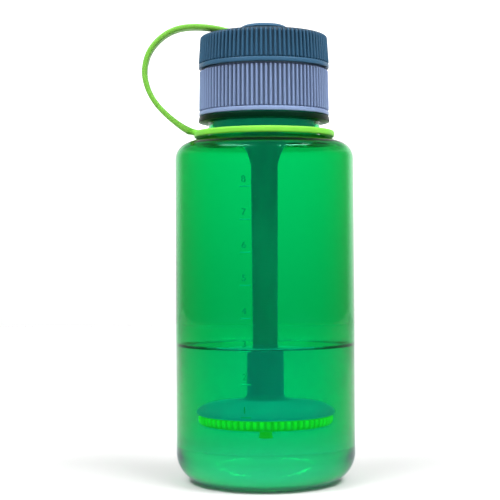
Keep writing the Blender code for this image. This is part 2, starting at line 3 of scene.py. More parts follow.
import bmesh
import bpy
import numpy as np
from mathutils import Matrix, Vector


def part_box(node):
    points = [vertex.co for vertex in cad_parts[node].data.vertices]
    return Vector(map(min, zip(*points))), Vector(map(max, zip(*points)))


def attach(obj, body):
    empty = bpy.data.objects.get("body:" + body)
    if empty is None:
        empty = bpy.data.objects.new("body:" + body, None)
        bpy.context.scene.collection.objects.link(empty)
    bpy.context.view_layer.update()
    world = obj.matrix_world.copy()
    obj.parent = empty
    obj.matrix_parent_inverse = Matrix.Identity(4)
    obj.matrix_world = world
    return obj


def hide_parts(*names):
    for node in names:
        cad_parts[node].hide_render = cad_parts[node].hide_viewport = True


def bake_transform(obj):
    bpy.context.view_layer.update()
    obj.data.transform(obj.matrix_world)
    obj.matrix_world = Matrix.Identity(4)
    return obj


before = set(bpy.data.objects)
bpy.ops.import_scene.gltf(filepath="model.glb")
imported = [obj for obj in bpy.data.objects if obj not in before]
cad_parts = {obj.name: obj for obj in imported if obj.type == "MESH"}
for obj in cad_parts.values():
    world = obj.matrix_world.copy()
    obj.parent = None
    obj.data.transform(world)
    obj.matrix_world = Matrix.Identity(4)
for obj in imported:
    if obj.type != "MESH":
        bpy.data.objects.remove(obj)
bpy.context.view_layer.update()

MM = 0.001


def low(node):
    return Vector(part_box(node)[0])


def high(node):
    return Vector(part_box(node)[1])


# ---- sizes, from the frame where a node gives them ---------------------------------------------

GAP = 0.3 * MM
LEAD = 6.0 * MM                      # rise of every screw thread in one turn
RIBS = 88

BOTTLE_BASE_R = 45.0 * MM
BOTTLE_R = 44.8 * MM                 # at the shoulder
WALL = 2.0 * MM
LIP_Z = high("bottle_body").z
NECK_R = 28.0 * MM
NECK_BORE_R = 26.2 * MM
NECK_THREAD_R = 29.6 * MM
NECK_THREAD_Z = 187.5 * MM
NECK_TURNS = 1.25
SHOULDER_Z = 161.7 * MM
SHOULDER_R = 8.8 * MM
LEDGE_R = 33.0 * MM
LEDGE_Z = 180.1 * MM
LEDGE_TOP_Z = 183.0 * MM
BASE_CORNER_R = 15.0 * MM
BASE_THICK = 3.2 * MM
SCALE_TOP_Z = 146.2 * MM
SCALE_STEP = 15.6 * MM
SCALE_COUNT = 8
WATER_Z = 68.7 * MM
NUMERAL_TURN = radians(-103.4)       # where the scale stands, round the bottle
STROKE_TURN = radians(-102.6)

COLLAR_Z = low("collar_ring").z
COLLAR_TOP_Z = high("collar_ring").z
COLLAR_R = high("collar_ring").x
COLLAR_TOP_R = COLLAR_R - 0.35 * MM
COLLAR_BORE_R = 30.2 * MM
COLLAR_THREAD_R = 28.4 * MM
BAND = 2.0 * MM
RIB_DEPTH = 1.3 * MM

FLANGE_R = high("insert_well").x
FLANGE_Z = 203.2 * MM
FLANGE_TOP_Z = 204.7 * MM
SPIGOT_R = 27.0 * MM
SPIGOT_BORE_R = 24.8 * MM
SPIGOT_TOP_Z = high("insert_well").z
SPIGOT_THREAD_R = 28.1 * MM
SPIGOT_THREAD_Z = 211.4 * MM
SPIGOT_TURNS = 1.1
WELL_R = 25.4 * MM
WELL_BORE_R = 23.4 * MM
WELL_FLOOR_Z = low("insert_well").z
WELL_FLOOR_TOP_Z = WELL_FLOOR_Z + 2.4 * MM

CAP_Z = low("cap_shell").z
CAP_TOP_Z = high("cap_shell").z
CAP_R = high("cap_shell").x
CAP_TOP_R = CAP_R - 0.75 * MM
CAP_BORE_R = 29.0 * MM
CAP_THREAD_R = 27.3 * MM
CAP_PLATE_Z = CAP_TOP_Z - 2.2 * MM

STEM_R = 6.75 * MM
STEM_END_R = 6.25 * MM
STEM_BORE_R = 4.0 * MM
SPIGOT_END_R = 5.75 * MM             # lower end of the stem, inside the foot's sleeve
STEM_TOP_Z = high("stem_tube").z
STEM_END_Z = low("stem_tube").z
SOCKET_R = 6.95 * MM
MOUTH_X = 16.2 * MM

FOOT_R = high("foot_dome").x
FOOT_Z = low("foot_dome").z
SLEEVE_TOP_Z = high("foot_dome").z
DIFFUSER_R = high("diffuser_ring").x
TEETH = 52

RING_Z = 172.3 * MM                  # the tether's neck ring
RING_TOP_Z = 175.7 * MM
STRAP_THICK = 2.6 * MM
STRAP_WIDTH = 8.0 * MM
STRAP_SAMPLES = 1000                 # even steps along the strap's centre line
LUG_DROP = 0.7 * MM                  # the strap's underside thickens by this much at the ring

# The strap's centre line in the XZ plane, from the neck ring up and over to the button, in mm.
STRAP_ROUTE = [
    (-33.2, 175.0), (-36.8, 176.1), (-40.9, 178.2), (-45.2, 181.2), (-49.2, 184.6),
    (-53.3, 188.9), (-56.5, 193.6), (-58.8, 199.0), (-59.9, 204.8), (-59.3, 210.8),
    (-57.2, 216.4), (-53.4, 221.3), (-48.4, 225.2), (-42.4, 227.6), (-35.6, 228.4),
    (-28.6, 228.1), (-22.8, 227.2), (-18.4, 226.2), (-14.6, 225.6), (-9.5, 225.5),
]
STRAP_CUTS = (0.045, 0.235, 0.36, 0.925)     # where its pieces meet, as shares of its length

LILAC = (0.193, 0.264, 0.440)
SLATE = (0.028, 0.092, 0.166)
LIME = (0.195, 0.66, 0.050)
BRIGHT_LIME = (0.60, 0.95, 0.05)
PALE_BLUE = (0.16, 0.26, 0.32)

FRONT_WALL = 0.42                    # brightness of the wall behind the camera
CAMERA_LENS = 97.2
CAMERA_PLACE = (-0.00745, -0.68, 0.1161)
CAMERA_ROLL = radians(0.33)


# ---- meshes ------------------------------------------------------------------------------------

def finish_mesh(name, verts, faces, sharp=40):
    mesh = bpy.data.meshes.new(name)
    mesh.from_pydata(verts, [], faces)
    mesh.validate()
    mesh.shade_smooth()
    mesh.set_sharp_from_angle(angle=radians(sharp))
    obj = bpy.data.objects.new(name, mesh)
    bpy.context.scene.collection.objects.link(obj)
    return obj


def arc(centre_r, centre_z, radius, start, end, steps):
    """Profile points on an arc, in degrees from +X towards +Z."""
    turn = (end - start) / steps
    angles = [radians(start + turn * i) for i in range(steps + 1)]
    return [(centre_r + radius * cos(a), centre_z + radius * sin(a)) for a in angles]


def rounded(profile, radius, steps=4):
    """Round the corners of a closed profile, each by no more than its sides allow."""
    out = []
    count = len(profile)
    for i in range(count):
        here = Vector(profile[i])
        back = Vector(profile[i - 1]) - here
        ahead = Vector(profile[(i + 1) % count]) - here
        if back.length < 1e-9 or ahead.length < 1e-9 or back.angle(ahead) > radians(165):
            out.append(tuple(here))
            continue
        cut = min(radius, back.length * 0.45, ahead.length * 0.45)
        a = here + back.normalized() * cut
        b = here + ahead.normalized() * cut
        for k in range(steps + 1):
            t = k / steps
            out.append(tuple(a * (1 - t) ** 2 + here * 2 * t * (1 - t) + b * t ** 2))
    return out


def run(start, end, step):
    """Even points on a straight stretch of a profile, without its last one."""
    start = Vector(start)
    end = Vector(end)
    count = max(1, round((end - start).length / step))
    return [tuple(start.lerp(end, i / count)) for i in range(count)]


def lathe(name, profile, segments, closed=True, centre_x=0.0, relief=None, sharp=40):
    """Turn a profile that runs down its outside and back up its inside.

    relief(angle, r, z) gives each point's own radius, for ribs, teeth and threads.
    """
    r = np.array([p[0] for p in profile])
    z = np.array([p[1] for p in profile])
    count = len(profile)
    angles = np.arange(segments) * (tau / segments)
    radius = np.repeat(r[None, :], segments, axis=0)
    if relief:
        radius = relief(angles[:, None], radius, np.repeat(z[None, :], segments, axis=0))
    x = centre_x + radius * np.cos(angles)[:, None]
    y = radius * np.sin(angles)[:, None]
    points = np.stack([x, y, np.repeat(z[None, :], segments, axis=0)], axis=2).reshape(-1, 3)
    verts = [tuple(p) for p in points]
    faces = []
    spans = count if closed else count - 1
    for j in range(segments):
        k = (j + 1) % segments
        for i in range(spans):
            m = (i + 1) % count
            a, b, c, d = j * count + i, j * count + m, k * count + m, k * count + i
            if not closed and i == 0:
                faces.append((0, b, c))
            elif not closed and m == count - 1:
                faces.append((a, count - 1, d))
            else:
                faces.append((a, b, c, d))
    return drop_loose(finish_mesh(name, verts, faces, sharp))


def drop_loose(obj):
    """Remove the points on the axis that no face uses."""
    bm = bmesh.new()
    bm.from_mesh(obj.data)
    loose = [v for v in bm.verts if not v.link_faces]
    bmesh.ops.delete(bm, geom=loose, context="VERTS")
    bm.to_mesh(obj.data)
    bm.free()
    return obj


def smooth_step(x):
    x = np.clip(x, 0.0, 1.0)
    return x * x * (3 - 2 * x)


def thread(angle, z, start_z, turns):
    """Height of a helical ridge, 0 to 1, over a surface given by angle and z."""
    height = np.zeros_like(z)
    for k in range(int(turns) + 1):
        t = angle / tau + k
        centre = start_z + LEAD * t
        ridge = 1 - smooth_step((np.abs(z - centre) - 0.45 * MM) / (0.7 * MM))
        ends = smooth_step(t / 0.07) * smooth_step((turns - t) / 0.07) * (t <= turns)
        height = np.maximum(height, ridge * ends)
    return height


def ribs(angle, count, share=0.64):
    """Half-round ribs with a narrow flat between them, 0 to 1."""
    place = np.mod(angle * count / tau, 1.0)
    inside = np.clip(place / share, 0.0, 1.0)
    return np.sqrt(np.clip(np.sin(pi * inside), 0.0, 1.0))


def sweep(name, centres, tangents, outline_at):
    """Sweep a capped outline, given as (y, normal) pairs for each station, along a line in XZ."""
    verts = []
    size = None
    for i, centre in enumerate(centres):
        normal = Vector((-tangents[i].z, 0.0, tangents[i].x))
        outline = outline_at(i / (len(centres) - 1))
        size = len(outline)
        verts += [tuple(centre + Vector((0.0, y, 0.0)) + normal * n) for y, n in outline]
    faces = []
    for i in range(len(centres) - 1):
        for k in range(size):
            m = (k + 1) % size
            faces.append((i * size + m, i * size + k, (i + 1) * size + k, (i + 1) * size + m))
    faces.append(tuple(range(size)))
    faces.append(tuple(reversed(range((len(centres) - 1) * size, len(centres) * size))))
    return finish_mesh(name, verts, faces, 50)


# ---- materials ---------------------------------------------------------------------------------

def new_material(name):
    mat = bpy.data.materials.new(name)
    mat.use_nodes = True
    nodes = mat.node_tree.nodes
    return mat, nodes, mat.node_tree.links, nodes["Principled BSDF"]


def noise(nodes, links, scale, detail=3.0, stretch=(1.0, 1.0, 1.0)):
    coord = nodes.new("ShaderNodeTexCoord")
    mapping = nodes.new("ShaderNodeMapping")
    mapping.inputs["Scale"].default_value = stretch
    texture = nodes.new("ShaderNodeTexNoise")
    texture.inputs["Scale"].default_value = scale
    texture.inputs["Detail"].default_value = detail
    links.new(coord.outputs["Object"], mapping.inputs["Vector"])
    links.new(mapping.outputs["Vector"], texture.inputs["Vector"])
    return texture.outputs["Fac"]


def map_range(nodes, links, value, from_min, from_max, to_min, to_max, kind="LINEAR"):
    node = nodes.new("ShaderNodeMapRange")
    node.interpolation_type = kind
    node.inputs["From Min"].default_value = from_min
    node.inputs["From Max"].default_value = from_max
    node.inputs["To Min"].default_value = to_min
    node.inputs["To Max"].default_value = to_max
    links.new(value, node.inputs["Value"])
    return node.outputs["Result"]


def spread(nodes, links, value, lowest, highest):
    """Map a noise's middle range to a range of values."""
    return map_range(nodes, links, value, 0.3, 0.7, lowest, highest)


def calculate(nodes, links, operation, *values):
    """A maths node on numbers and sockets."""
    node = nodes.new("ShaderNodeMath")
    node.operation = operation
    for i, value in enumerate(values):
        if isinstance(value, (int, float)):
            node.inputs[i].default_value = value
        else:
            links.new(value, node.inputs[i])
    return node.outputs["Value"]


def object_axes(nodes, links):
    coord = nodes.new("ShaderNodeTexCoord")
    axes = nodes.new("ShaderNodeSeparateXYZ")
    links.new(coord.outputs["Object"], axes.inputs["Vector"])
    return axes.outputs["X"], axes.outputs["Y"], axes.outputs["Z"]


def two_tone(nodes, links, value, dark, light):
    ramp = nodes.new("ShaderNodeValToRGB")
    ramp.color_ramp.elements[0].position = 0.3
    ramp.color_ramp.elements[0].color = (*dark, 1.0)
    ramp.color_ramp.elements[1].position = 0.7
    ramp.color_ramp.elements[1].color = (*light, 1.0)
    links.new(value, ramp.inputs["Fac"])
    return ramp.outputs["Color"]


def bump(nodes, links, value, strength, distance, shader):
    node = nodes.new("ShaderNodeBump")
    node.inputs["Strength"].default_value = strength
    node.inputs["Distance"].default_value = distance
    links.new(value, node.inputs["Height"])
    links.new(node.outputs["Normal"], shader.inputs["Normal"])


def shade(colour, factor):
    return tuple(min(1.0, c * factor) for c in colour)


def painted_groove_shade(nodes, links, tone, root_r, tip_r, lowest=0.38):
    """Painted shade between the ribs: the colour falls off with the distance from the rib tips."""
    coord = nodes.new("ShaderNodeTexCoord")
    flat = nodes.new("ShaderNodeVectorMath")
    flat.operation = "MULTIPLY"
    flat.inputs[1].default_value = (1.0, 1.0, 0.0)
    length = nodes.new("ShaderNodeVectorMath")
    length.operation = "LENGTH"
    links.new(coord.outputs["Object"], flat.inputs[0])
    links.new(flat.outputs["Vector"], length.inputs[0])
    depth = map_range(nodes, links, length.outputs["Value"], root_r, tip_r, lowest, 1.0)
    scaled = nodes.new("ShaderNodeVectorMath")
    scaled.operation = "SCALE"
    links.new(tone, scaled.inputs[0])
    links.new(depth, scaled.inputs["Scale"])
    return scaled.outputs["Vector"]


def moulded(name, colour, roughness=0.42, variation=0.07, groove_shade=None, gloss=0.2, painted_light=0.0):
    """Injection-moulded plastic: a faint flow mottle, uneven gloss and a fine spark-eroded grain.

    An emission in the plastic's own colour can brighten it: painted light.
    """
    mat, nodes, links, shader = new_material(name)
    flow = noise(nodes, links, 90.0, 4.0, (1.0, 1.0, 0.35))
    tone = two_tone(nodes, links, flow, shade(colour, 1 - variation), shade(colour, 1 + variation))
    shader.inputs["Specular IOR Level"].default_value = gloss
    if groove_shade:
        tone = painted_groove_shade(nodes, links, tone, *groove_shade)
    links.new(tone, shader.inputs["Base Color"])
    if painted_light:
        links.new(tone, shader.inputs["Emission Color"])
        shader.inputs["Emission Strength"].default_value = painted_light
    uneven = noise(nodes, links, 260.0, 3.0)
    links.new(spread(nodes, links, uneven, roughness - 0.05, roughness + 0.06),
              shader.inputs["Roughness"])
    bump(nodes, links, noise(nodes, links, 2600.0, 2.0), 0.5, 0.012 * MM, shader)
    shader.inputs["IOR"].default_value = 1.5
    return mat


def silicone(name, colour, roughness=0.5, painted_neon_light=0.0, groove_shade=None):
    """Soft moulded rubber with a velvety, uneven surface.

    An emission in the rubber's own colour can brighten it: painted light.
    """
    mat, nodes, links, shader = new_material(name)
    cloud = noise(nodes, links, 120.0, 5.0)
    tone = two_tone(nodes, links, cloud, shade(colour, 0.90), shade(colour, 1.08))
    if groove_shade:
        tone = painted_groove_shade(nodes, links, tone, *groove_shade)
    links.new(tone, shader.inputs["Base Color"])
    if painted_neon_light:
        links.new(tone, shader.inputs["Emission Color"])
        shader.inputs["Emission Strength"].default_value = painted_neon_light
    gloss = noise(nodes, links, 420.0, 4.0)
    links.new(spread(nodes, links, gloss, roughness - 0.07, roughness + 0.08),
              shader.inputs["Roughness"])
    bump(nodes, links, noise(nodes, links, 1800.0, 3.0), 0.5, 0.01 * MM, shader)
    shader.inputs["Specular IOR Level"].default_value = 0.25
    shader.inputs["Sheen Weight"].default_value = 0.06
    shader.inputs["Sheen Roughness"].default_value = 0.4
    return mat


def clear_green(name):
    """Clear green copolyester: coloured in the wall, with the slow ripple of blow moulding."""
    mat, nodes, links, shader = new_material(name)
    height_above_base = object_axes(nodes, links)[2]

    def by_height(from_z, to_z, start, end):
        return map_range(nodes, links, height_above_base, from_z, to_z, start, end)

    # what each surface lets through, by height: milky at the thick base, a little bluer under the
    # water line, darker at the shoulder's top as painted shade below the neck ring, and nearly
    # black at the ledge as painted shade under the collar
    ramp = nodes.new("ShaderNodeValToRGB")
    base, under_water, body = (0.50, 0.83, 0.81), (0.08, 0.757, 0.492), (0.08, 0.757, 0.455)
    shoulder, neck, dark = (0.03, 0.56, 0.30), (0.15, 0.93, 0.63), (0.06, 0.20, 0.14)
    stops = [(0.0, base), (BASE_CORNER_R, under_water), (WATER_Z - 1.0 * MM, under_water),
             (WATER_Z + 1.0 * MM, body), (SHOULDER_Z + 0.7 * SHOULDER_R, body),
             (SHOULDER_Z + SHOULDER_R, shoulder), (RING_TOP_Z - 0.5 * MM, neck),
             (LEDGE_Z - 0.6 * MM, neck), (LEDGE_Z - 0.2 * MM, dark),
             (LEDGE_TOP_Z + 0.2 * MM, dark), (LEDGE_TOP_Z + 0.6 * MM, neck)]
    for index, (height, colour) in enumerate(stops):
        if index < 2:
            element = ramp.color_ramp.elements[index]
            element.position = height / LIP_Z
        else:
            element = ramp.color_ramp.elements.new(height / LIP_Z)
        element.color = (*colour, 1.0)
    links.new(by_height(0.0, LIP_Z, 0.0, 1.0), ramp.inputs["Fac"])
    links.new(ramp.outputs["Color"], shader.inputs["Base Color"])

    ripple = noise(nodes, links, 38.0, 1.5, (1.0, 1.0, 0.22))
    folds = noise(nodes, links, 55.0, 2.0, (0.8, 0.8, 2.2))
    near_base = by_height(9.0 * MM, 20.0 * MM, 3.0, 0.0)
    folds_near_base = calculate(nodes, links, "MULTIPLY", folds, near_base)
    relief = calculate(nodes, links, "ADD", ripple, folds_near_base)
    bump(nodes, links, relief, 0.22, 0.45 * MM, shader)
    haze = spread(nodes, links, noise(nodes, links, 210.0, 3.0), 0.012, 0.035)
    ledge = calculate(nodes, links, "MULTIPLY", by_height(LEDGE_Z - 0.4 * MM, LEDGE_Z, 0.0, 0.4),
                      by_height(LEDGE_TOP_Z, LEDGE_TOP_Z + 0.4 * MM, 1.0, 0.0))
    links.new(calculate(nodes, links, "ADD", haze, ledge), shader.inputs["Roughness"])
    shader.inputs["Transmission Weight"].default_value = 1.0
    shader.inputs["IOR"].default_value = 1.22
    shader.inputs["Specular Tint"].default_value = (0.1, 0.8, 0.5, 1.0)
    # painted light: the thick base gives off a faint light, fading out between 8 and 30 mm up
    shader.inputs["Emission Color"].default_value = (0.42, 0.35, 0.80, 1.0)
    links.new(by_height(8.0 * MM, 30.0 * MM, 0.055, 0.0), shader.inputs["Emission Strength"])
    absorb = nodes.new("ShaderNodeVolumeAbsorption")
    absorb.inputs["Color"].default_value = (0.0, 0.915, 0.78, 1.0)
    absorb.inputs["Density"].default_value = 1050.0
    links.new(absorb.outputs["Volume"], nodes["Material Output"].inputs["Volume"])
    return mat


def water_material():
    mat, nodes, links, shader = new_material("water")
    ripple = noise(nodes, links, 30.0, 1.0)
    bump(nodes, links, ripple, 0.05, 0.3 * MM, shader)
    shader.inputs["Base Color"].default_value = (0.75, 0.93, 0.97, 1.0)
    shader.inputs["Roughness"].default_value = 0.0
    shader.inputs["Transmission Weight"].default_value = 1.0
    shader.inputs["IOR"].default_value = 1.33
    return mat


def glazed(name):
    """Off-white glazed ceramic with a speckled body under the glaze."""
    mat, nodes, links, shader = new_material(name)
    speck = noise(nodes, links, 900.0, 5.0)
    tone = two_tone(nodes, links, speck, (0.46, 0.43, 0.38), (0.70, 0.68, 0.63))
    links.new(tone, shader.inputs["Base Color"])
    gloss = noise(nodes, links, 200.0, 3.0)
    links.new(spread(nodes, links, gloss, 0.14, 0.24), shader.inputs["Roughness"])
    shader.inputs["Coat Weight"].default_value = 0.5
    shader.inputs["Coat Roughness"].default_value = 0.08
    return mat


def brushed(name):
    mat, nodes, links, shader = new_material(name)
    grain = noise(nodes, links, 700.0, 4.0, (1.0, 14.0, 1.0))
    tone = two_tone(nodes, links, grain, (0.42, 0.42, 0.43), (0.64, 0.64, 0.65))
    links.new(tone, shader.inputs["Base Color"])
    links.new(spread(nodes, links, grain, 0.26, 0.42), shader.inputs["Roughness"])
    shader.inputs["Metallic"].default_value = 1.0
    return mat


SLATE_PLASTIC = moulded("slate_moulded_plastic", SLATE)
# painted light: the stem, the insert and the foot give off light of their own, and painted shade
# darkens the foot from 14 mm in towards the stem
PALE_PLASTIC = moulded("pale_blue_plastic", PALE_BLUE, painted_light=0.4)
INSERT_PLASTIC = moulded("pale_lilac_plastic", (0.24, 0.34, 0.42), painted_light=0.32)
FOOT_PLASTIC_PAINTED_LIGHT_AND_SHADE = moulded("pale_blue_plastic_painted_light_and_shade", (0.22, 0.57, 0.84), painted_light=0.35,
                              groove_shade=(7.0 * MM, 14.0 * MM, 0.56))
# painted shade: the strap is a darker copy of the tether's lime rubber
SHADED_STRAP_RUBBER = silicone("strap_silicone_painted_shade", (0.160, 0.45, 0.045))
LIME_RUBBER = silicone("lime_silicone", LIME)
# painted light: the diffuser ring gives off light of its own, and painted shade darkens it between
# its teeth
BRIGHT_RUBBER = silicone("bright_lime_silicone", BRIGHT_LIME, painted_neon_light=0.75,
                         groove_shade=(DIFFUSER_R - 1.2 * MM, DIFFUSER_R, 0.6))
DARK_RUBBER = silicone("dark_silicone", (0.03, 0.04, 0.05), 0.6)
PALE_FOAM = silicone("pale_liner_foam", (0.70, 0.70, 0.66), 0.75)
GREEN_CLEAR = clear_green("clear_green_plastic")


def place(obj, body, material, slot, *nodes):
    obj.data.materials.clear()
    obj.data.materials.append(material)
    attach(obj, body)
    if nodes:
        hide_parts(*nodes)
    return obj


# ---- the bottle --------------------------------------------------------------------------------

def bottle_profile():
    rim_r = BOTTLE_BASE_R - BASE_CORNER_R
    inner_corner_r = BASE_CORNER_R - WALL
    shoulder_r = BOTTLE_R - SHOULDER_R
    floor = [(0.0, BASE_THICK), (6 * MM, BASE_THICK), (rim_r * 0.6, BASE_THICK)]
    inner_base = arc(rim_r, BASE_THICK + inner_corner_r, inner_corner_r, -90, 0, 20)
    inner_shoulder = arc(shoulder_r, SHOULDER_Z, SHOULDER_R - WALL, 0, 70, 14)
    inner_neck = arc(NECK_BORE_R + 4.2 * MM, 174.6 * MM, 4.2 * MM, 245, 180, 8)
    lip = rounded([(NECK_BORE_R, LIP_Z - 3 * MM), (NECK_BORE_R, LIP_Z), (NECK_R, LIP_Z),
                   (NECK_R, LIP_Z - 3 * MM)], 0.5 * MM)[1:-1]
    thread_zone = run((NECK_R, 198.6 * MM), (NECK_R, 185.6 * MM), 0.3 * MM)
    ledge = rounded([(NECK_R, LEDGE_TOP_Z + 2 * MM), (NECK_R, LEDGE_TOP_Z),
                     (LEDGE_R - 0.4 * MM, LEDGE_TOP_Z), (LEDGE_R, LEDGE_Z), (NECK_R, LEDGE_Z),
                     (NECK_R, LEDGE_Z - 2 * MM)], 0.7 * MM)[1:-1]
    outer_neck = arc(NECK_R + 2.2 * MM, 175.2 * MM, 2.2 * MM, 180, 248, 7)
    outer_shoulder = arc(shoulder_r, SHOULDER_Z, SHOULDER_R, 72, 0, 20)
    outer_base = arc(rim_r, BASE_CORNER_R, BASE_CORNER_R, 0, -90, 26)
    relief = rounded([(rim_r, 0.0), (26.5 * MM, 0.0), (24.5 * MM, 1.4 * MM), (14 * MM, 1.4 * MM),
                      (12 * MM, 0.0), (0.0, 0.0)], 1.2 * MM)[5:-5]
    return (floor + inner_base + inner_shoulder + inner_neck + lip + thread_zone + ledge
            + outer_neck + outer_shoulder + outer_base + relief + [(0.0, 0.0)])


def bottle_relief(angle, r, z):
    outside = (r > NECK_R - 0.05 * MM) & (r < NECK_R + 0.05 * MM) & (z > 185 * MM)
    ridge = thread(angle, z, NECK_THREAD_Z, NECK_TURNS)
    return np.where(outside, r + (NECK_THREAD_R - NECK_R) * ridge, r)


def wall_radius(z):
    """The outside of the straight wall, which widens a little downwards."""
    return BOTTLE_R + (BOTTLE_BASE_R - BOTTLE_R) * (SHOULDER_Z - z) / (SHOULDER_Z - BASE_CORNER_R)


def build_bottle():
    bottle = lathe("bottle_wall", bottle_profile(), 192, closed=False, relief=bottle_relief)
    place(bottle, "bottle", GREEN_CLEAR, "bottle", "bottle_body")


def wrap(obj, angle, height, radius):
    """Bend a flat drawing in XY, with its thickness in Z, round the wall."""
    for v in obj.data.vertices:
        turn = angle + v.co.x / radius
        r = radius + v.co.z
        v.co = (r * cos(turn), r * sin(turn), height + v.co.y)


def merge(name, objs):
    verts, faces = [], []
    for obj in objs:
        start = len(verts)
        verts += [tuple(v.co) for v in obj.data.vertices]
        faces += [tuple(start + i for i in p.vertices) for p in obj.data.polygons]
        bpy.data.objects.remove(obj, do_unlink=True)
    return finish_mesh(name, verts, faces, 30)


def numeral(text, size):
    curve = bpy.data.curves.new("numeral", "FONT")
    curve.body = text
    curve.size = size
    curve.align_x = "CENTER"
    curve.align_y = "CENTER"
    curve.extrude = 0.3 * MM
    curve.offset = 0.06 * MM
    text_obj = bpy.data.objects.new("numeral", curve)
    bpy.context.scene.collection.objects.link(text_obj)
    bpy.context.view_layer.update()
    shape = text_obj.evaluated_get(bpy.context.evaluated_depsgraph_get())
    mesh = bpy.data.meshes.new_from_object(shape)
    bpy.data.objects.remove(text_obj, do_unlink=True)
    obj = bpy.data.objects.new("numeral", mesh)
    bpy.context.scene.collection.objects.link(obj)
    return obj


def stroke(width, height):
    """A short raised bar with a domed face."""
    count = 6
    section = [(-0.5, -0.3), (-0.5, 0.04), (-0.25, 0.1), (0.25, 0.1), (0.5, 0.04), (0.5, -0.3)]
    verts, faces = [], []
    for i in range(count + 1):
        x = width * (i / count - 0.5)
        verts += [(x, y * height, z * MM) for y, z in section]
    for i in range(count):
        for k in range(6):
            a, b = i * 6 + k, i * 6 + (k + 1) % 6
            faces.append((a, b, b + 6, a + 6))
    faces.append(tuple(reversed(range(6))))
    faces.append(tuple(range(count * 6, count * 6 + 6)))
    return finish_mesh("stroke", verts, faces)


def build_scale():
    """The moulded volume scale: a plain numeral over a stroke at each of its steps."""
    numerals, strokes = [], []
    for i in range(SCALE_COUNT):
        height = SCALE_TOP_Z - SCALE_STEP * i
        radius = wall_radius(height)
        mark = numeral(str(SCALE_COUNT - i), 4.4 * MM)
        wrap(mark, NUMERAL_TURN, height + 3.4 * MM, radius)
        numerals.append(mark)
        bar = stroke(5.0 * MM, 0.6 * MM)
        wrap(bar, STROKE_TURN, height, radius)
        strokes.append(bar)
    marks = merge("scale_numerals", numerals)
    place(marks, "bottle", moulded("numeral_green", (0.0, 0.22, 0.06), 0.6, gloss=0.0),
          "bottle")
    bars = merge("scale_strokes", strokes)
    place(bars, "bottle", moulded("stroke_green", (0.0, 0.32, 0.10), 0.6, gloss=0.0),
          "bottle")


def build_water():
    """What is in the bottle: contents, not a part."""
    inside_r = wall_radius(WATER_Z) - WALL + 0.12 * MM
    rim_r = BOTTLE_BASE_R - BASE_CORNER_R
    corner_r = BASE_CORNER_R - WALL
    floor_z = BASE_THICK - 0.12 * MM
    profile = [(0.0, WATER_Z), (20 * MM, WATER_Z)]
    profile += arc(inside_r - 2.2 * MM, WATER_Z + 1.6 * MM, 2.2 * MM, 270, 345, 8)
    profile += arc(rim_r, floor_z + corner_r, corner_r + 0.12 * MM, 0, -90, 20)
    profile += [(10 * MM, floor_z), (0.0, floor_z)]
    water = lathe("water", profile, 160, closed=False)
    water.data.materials.append(water_material())


build_bottle()
build_scale()
build_water()


# ---- the collar and the cap --------------------------------------------------------------------

def build_collar():
    root_r = COLLAR_R - RIB_DEPTH
    ceiling = FLANGE_TOP_Z + GAP
    hole_r = SPIGOT_THREAD_R + GAP
    root_top_r = COLLAR_TOP_R - RIB_DEPTH
    ribs_low = COLLAR_Z + BAND
    ribs_high = COLLAR_TOP_Z - 0.55 * MM
    outside = (
        arc(root_top_r - 0.3 * MM, COLLAR_TOP_Z - 0.3 * MM, 0.3 * MM, 90, 0, 3)
        + run((root_top_r, ribs_high), (root_top_r, ribs_high - 1.0 * MM), 0.25 * MM)
        + [(root_top_r, ribs_high - 1.0 * MM), (root_r, ribs_low + 1.2 * MM),
           (root_r, ribs_low + 0.9 * MM), (root_r, ribs_low + 0.6 * MM),
           (root_r, ribs_low + 0.3 * MM), (COLLAR_R - 0.15 * MM, ribs_low),
           (COLLAR_R, ribs_low - 0.25 * MM)]
        + arc(COLLAR_R - 0.35 * MM, COLLAR_Z + 0.35 * MM, 0.35 * MM, 0, -90, 4)
    )
    bore = (
        [(COLLAR_BORE_R + 0.4 * MM, COLLAR_Z), (COLLAR_BORE_R, COLLAR_Z + 0.5 * MM)]
        + run((COLLAR_BORE_R, COLLAR_Z + 1.4 * MM), (COLLAR_BORE_R, 195 * MM), 0.3 * MM)
        + [(COLLAR_BORE_R, ceiling - 0.6 * MM), (COLLAR_BORE_R - 0.2 * MM, ceiling - 0.1 * MM),
           (COLLAR_BORE_R - 0.6 * MM, ceiling), (hole_r + 0.3 * MM, ceiling),
           (hole_r, ceiling + 0.3 * MM), (hole_r, COLLAR_TOP_Z - 0.3 * MM),
           (hole_r + 0.3 * MM, COLLAR_TOP_Z)]
    )

    def relief(angle, r, z):
        grip = smooth_step((ribs_high - z) / (0.7 * MM)) * smooth_step((z - ribs_low) / (0.8 * MM))
        outer = (r < root_r + 0.05 * MM) & (r > root_top_r - 0.05 * MM) & (z < ribs_high + 0.1 * MM)
        inner = np.abs(r - COLLAR_BORE_R) < 0.01 * MM
        r = np.where(outer, r + RIB_DEPTH * ribs(angle, RIBS) * grip, r)
        ridge = thread(angle, z, NECK_THREAD_Z - LEAD / 2, NECK_TURNS)
        return np.where(inner, r - (COLLAR_BORE_R - COLLAR_THREAD_R) * ridge, r)

    collar = lathe("collar_grip", outside + bore, RIBS * 10, relief=relief, sharp=60)
    # painted shade: the grip darkens towards the roots of its ribs
    grip_plastic = moulded("lilac_grip_plastic", LILAC,
                           groove_shade=(COLLAR_TOP_R - RIB_DEPTH, COLLAR_TOP_R))
    place(collar, "collar", grip_plastic, "collar", "collar_ring")


